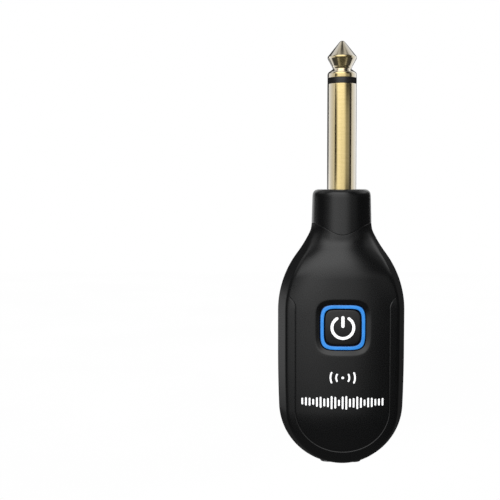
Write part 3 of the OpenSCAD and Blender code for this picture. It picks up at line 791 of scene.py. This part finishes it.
def rounded(outline, radii, steps=5):
    """Closed outline with each corner replaced by a soft curve of about the given radius."""
    corners = np.array(outline, float)
    points = []
    for i, corner in enumerate(corners):
        before, after = corners[i - 1] - corner, corners[(i + 1) % len(corners)] - corner
        reach = min(radii[i], 0.45 * np.linalg.norm(before), 0.45 * np.linalg.norm(after))
        if reach == 0:
            points.append(corner)
            continue
        start = corner + before / np.linalg.norm(before) * reach
        end = corner + after / np.linalg.norm(after) * reach
        for u in np.linspace(0, 1, steps + 1):
            points.append((1 - u) ** 2 * start + 2 * u * (1 - u) * corner + u**2 * end)
    return points


PLUG_TURNS = 160
BORE_R = 1.95
ROD_R, ROD_DROP = 1.2, 10.2
RING_IN, RING_OUT = ROD_R + 0.05, PLUG_R - 0.02


def plug_part(name, outline, radii, node, slot):
    """Turned part of the plug, from its outline's corners and the radius on each."""
    points, faces = revolve(rounded(outline, radii), PLUG_TURNS)
    return make_piece(name, points, faces, slot, stands_for=[node], sharp=50)


def plug_sleeve():
    """Hollow sleeve that stands on its shoulder in the collar."""
    outline = [(BORE_R, -SHOULDER_DROP), (SHOULDER_R, -SHOULDER_DROP), (SHOULDER_R, 0), (PLUG_R, 0),
               (PLUG_R, SLEEVE_TOP), (BORE_R, SLEEVE_TOP)]
    return plug_part("plug_sleeve_contact", outline, [0, 0, 0.08, 0, 0.1, 0], "plug_sleeve", "plug_gold")


def plug_ring():
    """Black ring between the sleeve and the tip."""
    outline = [(RING_IN, SLEEVE_TOP), (RING_OUT, SLEEVE_TOP), (RING_OUT, TIP_BASE), (RING_IN, TIP_BASE)]
    plug_part("plug_ring_insulator", outline, [0, 0.05, 0.05, 0], "plug_insulating_ring", "plug_black")


def plug_tip():
    """Land, waist and cone of the tip, turned round the plug's axis, on the rod that carries it."""
    edge_r, waist_r, nose_r, land = PLUG_R - 0.01, 1.97, 0.8, 1.1
    cone = math.radians(38.8)
    nose_z = PLUG_TOP - nose_r
    cone_start = nose_z + nose_r * math.sin(cone)
    edge_z = cone_start - (edge_r - nose_r * math.cos(cone)) / math.tan(cone)
    outline = [(0, -ROD_DROP), (ROD_R, -ROD_DROP), (ROD_R, TIP_BASE), (edge_r, TIP_BASE),
               (edge_r, TIP_BASE + land), (waist_r, PLUG_TOP - 6.08), (waist_r + 0.2, PLUG_TOP - 5.72),
               (waist_r + 0.22, PLUG_TOP - 5.56), (edge_r, edge_z - 0.35), (edge_r, edge_z)]
    radii = [0, 0, 0, 0.1, 0.35, 0.08, 0.08, 0.06, 0.3, 0.3]
    nose = [(max(nose_r * math.cos(a), 0), nose_z + nose_r * math.sin(a))
            for a in np.linspace(cone, math.pi / 2, 14)]
    return plug_part("plug_tip_contact", outline + nose, radii + [0] * len(nose), "plug_tip", "plug_gold")


sleeve_contact = plug_sleeve()
plug_ring()
tip_contact = plug_tip()

# ---------------------------------------------------------------- pieces: button

AROUND = 192
# Corner powers of the button's outlines: the cap and the light ring's inside, and the light ring's outside
CAP_POWER, LIGHT_POWER = 5, 4.6
LIGHT_BAND, LIGHT_EDGE, LIGHT_DEPTH = 1.05, 0.3, 0.8
LIGHT_IN = LIGHT_HALF - LIGHT_BAND
CAP_GAP, CAP_EDGE, CAP_DEPTH, CAP_DOME_R = 0.1, 0.14, 1.2, 50.0
CAP_R = LIGHT_IN - CAP_GAP


def button_height(x, z):
    """Height of the case's face round the button, less the recess's depth."""
    return face_height(x, -z) - RECESS_T


def cap_height(x, z):
    """Height of the button cap, which falls away a little above and below its middle."""
    return button_height(x, z) - (z + BUTTON_DROP) ** 2 / (2 * CAP_DOME_R)


def loft(contours, name, node, body, slot, height_of, closed_centre):
    """Closed solid in the face: contours are (half-width, corner power, depth below height_of)."""
    turns = np.linspace(0, 2 * math.pi, AROUND, endpoint=False)
    rows = []
    for half, power, depth in contours:
        r = squircle_r(turns, half, power) if half else 0 * turns
        x, z = r * np.cos(turns), r * np.sin(turns) - BUTTON_DROP
        rows.append(np.column_stack([x, -(height_of(x, z) - depth), z]))
    faces = grid_faces(len(rows), AROUND, wrap=True)
    if not closed_centre:
        faces += closing_faces(len(rows), AROUND)
    points, faces = merge_poles(np.vstack(rows), faces)
    make_piece(name, points, faces, slot, body, [node])


def light_contours():
    """The light ring, from its outer wall over its rounded front to its inner wall."""
    rows = [(LIGHT_HALF, LIGHT_POWER, LIGHT_DEPTH)]
    for angle in np.radians(np.linspace(0, 90, 7)):
        half = LIGHT_HALF - LIGHT_EDGE * (1 - math.cos(angle))
        rows.append((half, LIGHT_POWER, LIGHT_EDGE * (1 - math.sin(angle))))
    for angle in np.radians(np.linspace(90, 0, 7)):
        half = LIGHT_IN + LIGHT_EDGE * (1 - math.cos(angle))
        rows.append((half, CAP_POWER, LIGHT_EDGE * (1 - math.sin(angle))))
    return rows + [(LIGHT_IN, CAP_POWER, LIGHT_DEPTH)]


def cap_contours():
    """The button cap, from the middle of its back round its rim to the middle of its front."""
    rows = [(0, CAP_DEPTH), (3.6, CAP_DEPTH), (CAP_R, CAP_DEPTH), (CAP_R, CAP_EDGE)]
    for angle in np.radians([22, 45, 68, 90]):
        rows.append((CAP_R - CAP_EDGE * (1 - math.cos(angle)), CAP_EDGE * (1 - math.sin(angle))))
    rows += [(half, 0) for half in (3.4, 2.9, 2.4, 1.9, 1.4, 0.9, 0.4, 0)]
    return [(half, CAP_POWER, depth) for half, depth in rows]


loft(light_contours(), "light_ring_guide", "light_ring", "root", "ring_blue", button_height,
     closed_centre=False)
loft(cap_contours(), "button_cap_face", "button_cap", "button", "button_black", cap_height,
     closed_centre=True)


def plate(outline, centre_drop, thick, height_of):
    """Thin closed plate, a little proud of the face: outline holds rows of (x, up) points across it."""
    grid = np.array(outline)
    rows, columns = grid.shape[:2]
    x, z = grid[..., 0].ravel(), grid[..., 1].ravel() - centre_drop
    top = np.column_stack([x, -(height_of(x, z) + PROUD), z])
    low = np.column_stack([x, -(height_of(x, z) + PROUD - thick), z])
    count = rows * columns
    faces = grid_faces(rows, columns)
    faces += [tuple(count + i for i in reversed(f)) for f in grid_faces(rows, columns)]
    rim = list(range(columns))
    rim += [(i + 1) * columns - 1 for i in range(1, rows)]
    rim += [count - columns + j for j in range(columns - 2, -1, -1)]
    rim += [i * columns for i in range(rows - 2, 0, -1)]
    faces += [(rim[i], count + rim[i], count + rim[(i + 1) % len(rim)], rim[(i + 1) % len(rim)])
              for i in range(len(rim))]
    return np.vstack([top, low]), faces


def stroke(path, width, cap_steps=8):
    """Rows of points across a stroke along a path, with round ends; each row is (left, right)."""
    path = np.array(path, float)
    ahead = np.gradient(path, axis=0)
    ahead /= np.linalg.norm(ahead, axis=1)[:, None]
    side = np.column_stack([-ahead[:, 1], ahead[:, 0]])
    half = width / 2
    rows = []
    for angle in np.linspace(0, math.pi / 2, cap_steps)[:-1]:
        rows.append((path[0] - ahead[0] * half * math.cos(angle), side[0], half * math.sin(angle)))
    rows += [(p, s, half) for p, s in zip(path, side)]
    for angle in np.linspace(math.pi / 2, 0, cap_steps)[1:]:
        rows.append((path[-1] + ahead[-1] * half * math.cos(angle), side[-1], half * math.sin(angle)))
    across = np.linspace(1, -1, 5)
    return [[p + s * h * k for k in across] for p, s, h in rows]


def arc_path(radius, start, end, steps):
    """Points on an arc; angles are in degrees from up (0), turning to the right."""
    return [(radius * math.sin(a), radius * math.cos(a))
            for a in np.radians(np.linspace(start, end, steps))]


def joined_plates(name, strokes, centre_drop, thick, height_of, body, nodes=()):
    """One white piece made of several separate thin plates."""
    points, faces = [], []
    for outline in strokes:
        start = sum(len(q) for q in points)
        plate_points, plate_faces = merge_poles(*plate(outline, centre_drop, thick, height_of))
        points.append(plate_points)
        faces += [tuple(start + i for i in face) for face in plate_faces]
    make_piece(name, np.vstack(points), faces, "icon_white", body, nodes, sharp=60)


# The symbol's ring radius, line widths, thickness, half its opening in degrees, and the bar's ends
ICON_R, ICON_LINE, ICON_BAR, ICON_T, ICON_OPEN = 2.31, 0.6, 0.68, 0.4, 33
ICON_BAR_LOW, ICON_BAR_HIGH = 0.32, 2.12


def power_icon():
    """Power symbol let into the cap: an open ring and an upright bar."""
    ring = stroke(arc_path(ICON_R, ICON_OPEN, 360 - ICON_OPEN, 72), ICON_LINE)
    bar = stroke([(0, y) for y in np.linspace(ICON_BAR_LOW, ICON_BAR_HIGH, 5)], ICON_BAR)
    joined_plates("power_icon_inlay", [ring, bar], BUTTON_DROP, ICON_T, cap_height, "button",
                  ["power_icon"])


power_icon()

# ---------------------------------------------------------------- pieces: printed marks

# The printed marks are made in the glowing icon white, so their glow is painted light.
SIGN_DROP, WAVE_DROP, PRINT_T = 40.0, 45.4, 0.05


def case_height(x, z):
    """Height of the case's face."""
    return face_height(x, -z)


def signal_mark():
    """Printed broadcast sign: a dot with two waves on each side."""
    marks = [stroke([(-0.01, 0), (0.01, 0)], 0.56)]
    for radius, reach in ((1.4, 30), (2.6, 24)):
        for centre in (90, 270):
            marks.append(stroke(arc_path(radius, centre - reach, centre + reach, 18), 0.36))
    joined_plates("print_signal_mark", marks, SIGN_DROP, PRINT_T, case_height, "root")


def wave_mark():
    """Printed row of rounded bars in the shape of a sound wave."""
    count, width, pitch = 23, 0.38, 0.78
    bars = []
    for i in range(count):
        x = (i - (count - 1) / 2) * pitch
        tall = 0.42 + 0.9 * abs(math.sin(0.9 * i + 0.5)) * math.exp(-((x / 7.2) ** 2))
        bars.append(stroke([(x, -tall), (x, 0), (x, tall)], width))
    joined_plates("print_wave_mark", bars, WAVE_DROP, PRINT_T, case_height, "root")


signal_mark()
wave_mark()

# ---------------------------------------------------------------- camera, light and floor


def camera():
    """Stands in front of the part, a little to its left, level with the collar and looking slightly down."""
    down, roll, left = 4.06, 0.12, 2.66
    lens = bpy.data.cameras.new("camera")
    lens.lens = 66.96
    lens.sensor_width = 36
    lens.clip_start = 0.01
    eye = bpy.data.objects.new("camera", lens)
    eye.location = (-0.01056, -0.2049, 0.0012)
    eye.rotation_euler = np.radians([90 - down, roll, left])
    bpy.context.scene.collection.objects.link(eye)
    bpy.context.scene.camera = eye


# Soft boxes round the part, all in degrees: azimuth range (0 faces the front, 90 the right side), elevation
# range, light, softness of the upright edges and softness of the level edges. The black card is negative.
SOFT_BOXES = [
    ((-56, 21), (-9, 62), 1.25, 34, 18),
    ((-62, 24), (14, 64), 0.9, 28, 24),
    ((-54, -12), (-14, 10), 0.2, 20, 12),
    ((-61, -39), (0, 12), -1.1, 8, 2),
    ((14, 58), (0, 10), 0.42, 20, 2),
    ((-160, -108), (-14, 0), 0.3, 20, 6),
    ((-120, -80), (20, 45), 0.5, 20, 10),
    ((70, 125), (20, 45), 0.45, 20, 10),
    ((-148, -100), (40, 80), 0.6, 20, 10),
    ((100, 148), (20, 80), 0.6, 20, 10),
    ((-100, 100), (68, 80), 0.5, 20, 10),
    ((-180, 180), (-90, -38), 0.06, 20, 24),
]
AMBIENT = 0.04


def studio():
    """World light painted by direction: soft boxes in a dim room, and plain white behind the part."""
    world = bpy.data.worlds.new("studio")
    bpy.context.scene.world = world
    world.use_nodes = True
    tree = world.node_tree
    tree.nodes.clear()

    def math_node(kind, a, b=None):
        """Math node on one or two inputs, each a number or another node's output."""
        node = tree.nodes.new("ShaderNodeMath")
        node.operation = kind
        for index, value in enumerate([a, b]):
            if isinstance(value, (int, float)):
                node.inputs[index].default_value = value
            elif value is not None:
                tree.links.new(value, node.inputs[index])
        return node.outputs[0]

    def edge(value, start, width):
        """Soft step from 0 to 1 of the given width, centred on start."""
        node = tree.nodes.new("ShaderNodeMapRange")
        node.interpolation_type = "SMOOTHSTEP"
        tree.links.new(value, node.inputs["Value"])
        node.inputs["From Min"].default_value = start - width / 2
        node.inputs["From Max"].default_value = start + width / 2
        return node.outputs["Result"]

    direction = tree.nodes.new("ShaderNodeTexCoord").outputs["Generated"]
    parts = tree.nodes.new("ShaderNodeSeparateXYZ")
    tree.links.new(direction, parts.inputs[0])
    back = math_node("MULTIPLY", parts.outputs["Y"], -1)
    azimuth = math_node("DEGREES", math_node("ARCTAN2", parts.outputs["X"], back))
    elevation = math_node("DEGREES", math_node("ARCSINE", parts.outputs["Z"]))
    light = None
    for (left, right), (low, high), strength, side_softness, level_softness in SOFT_BOXES:
        box = math_node("SUBTRACT", edge(elevation, low, level_softness),
                        edge(elevation, high, level_softness))
        if right - left < 360:
            wide = math_node("SUBTRACT", edge(azimuth, left, side_softness),
                             edge(azimuth, right, side_softness))
            box = math_node("MULTIPLY", box, wide)
        box = math_node("MULTIPLY", box, strength)
        light = box if light is None else math_node("ADD", light, box)
    light = math_node("MAXIMUM", math_node("ADD", light, AMBIENT), 0)

    room = tree.nodes.new("ShaderNodeBackground")
    tree.links.new(light, room.inputs["Strength"])
    white = tree.nodes.new("ShaderNodeBackground")
    white.inputs["Strength"].default_value = 1.0
    white.inputs["Color"].default_value = (1, 1, 1, 1)
    room.inputs["Color"].default_value = (1, 1, 1, 1)
    mix = tree.nodes.new("ShaderNodeMixShader")
    tree.links.new(tree.nodes.new("ShaderNodeLightPath").outputs["Is Camera Ray"], mix.inputs[0])
    tree.links.new(room.outputs[0], mix.inputs[1])
    tree.links.new(white.outputs[0], mix.inputs[2])
    tree.links.new(mix.outputs[0], tree.nodes.new("ShaderNodeOutputWorld").inputs["Surface"])


LAMP_DISTANCE = 0.6


def lamp(name, place, turn, width, height, light, receivers):
    """Soft panel lamp of even light that lights only the given pieces and isn't seen itself."""
    panel = bpy.data.lights.new(name, "AREA")
    panel.shape = "RECTANGLE"
    panel.size, panel.size_y = width, height
    panel.energy = light * math.pi * width * height
    stand = bpy.data.objects.new(name, panel)
    stand.location = place
    stand.rotation_euler = turn
    stand.visible_camera = False
    lit = bpy.data.collections.new(name)
    for piece in receivers:
        lit.objects.link(piece)
    stand.light_linking.receiver_collection = lit
    bpy.context.scene.collection.objects.link(stand)


def side_lamp(name, azimuths, heights, light, receivers):
    """Upright panel lamp that fills the given range of azimuths, in degrees, and heights, in metres."""
    left, right = np.radians(azimuths)
    middle = (left + right) / 2
    place = (LAMP_DISTANCE * math.sin(middle), -LAMP_DISTANCE * math.cos(middle), sum(heights) / 2)
    width = 2 * LAMP_DISTANCE * math.tan((right - left) / 2)
    lamp(name, place, (math.pi / 2, 0, middle), width, heights[1] - heights[0], light, receivers)


def lamps():
    """Two lamps give the plug its bright sides, one lights it from below and one lights the back."""
    beside = (-0.3, 0.24)
    plug = [sleeve_contact, tip_contact]
    back = [rear, neck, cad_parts["case_screws"]]
    side_lamp("lamp_left", (-130, -61), beside, 0.75, plug)
    side_lamp("lamp_right", (78, 150), beside, 0.75, plug)
    side_lamp("lamp_rear", (148, 222), (-0.35, 0.45), 0.9, back)
    lamp("lamp_low", (0, 0, -LAMP_DISTANCE), (math.pi, 0, 0), 1.0, 1.0, 0.4, plug)


def floor():
    """Plain pale floor a little below the part; it neither shades nor lights it."""
    half, drop = 0.6, 0.075
    corners = [(-half, -half, -drop), (half, -half, -drop), (half, half, -drop), (-half, half, -drop)]
    mesh = bpy.data.meshes.new("floor")
    mesh.from_pydata(corners, [], [(0, 1, 2, 3)])
    plane = bpy.data.objects.new("floor", mesh)
    bpy.context.scene.collection.objects.link(plane)
    shader = Shader("pale_floor")
    tone = shader.colours(shader.noise(60), (0.99, 0.99, 0.99), (1, 1, 1))
    shader.link(tone, shader.surface.inputs["Emission Color"])
    shader.set(Emission_Strength=1.0, Base_Color=(0, 0, 0, 1), Specular_IOR_Level=0.0, Roughness=1.0)
    mesh.materials.append(shader.material)
    plane.visible_diffuse = False
    plane.visible_glossy = False
    plane.visible_transmission = False
    plane.visible_shadow = False


camera()
studio()
lamps()
floor()
bpy.context.scene.view_settings.view_transform = "Standard"
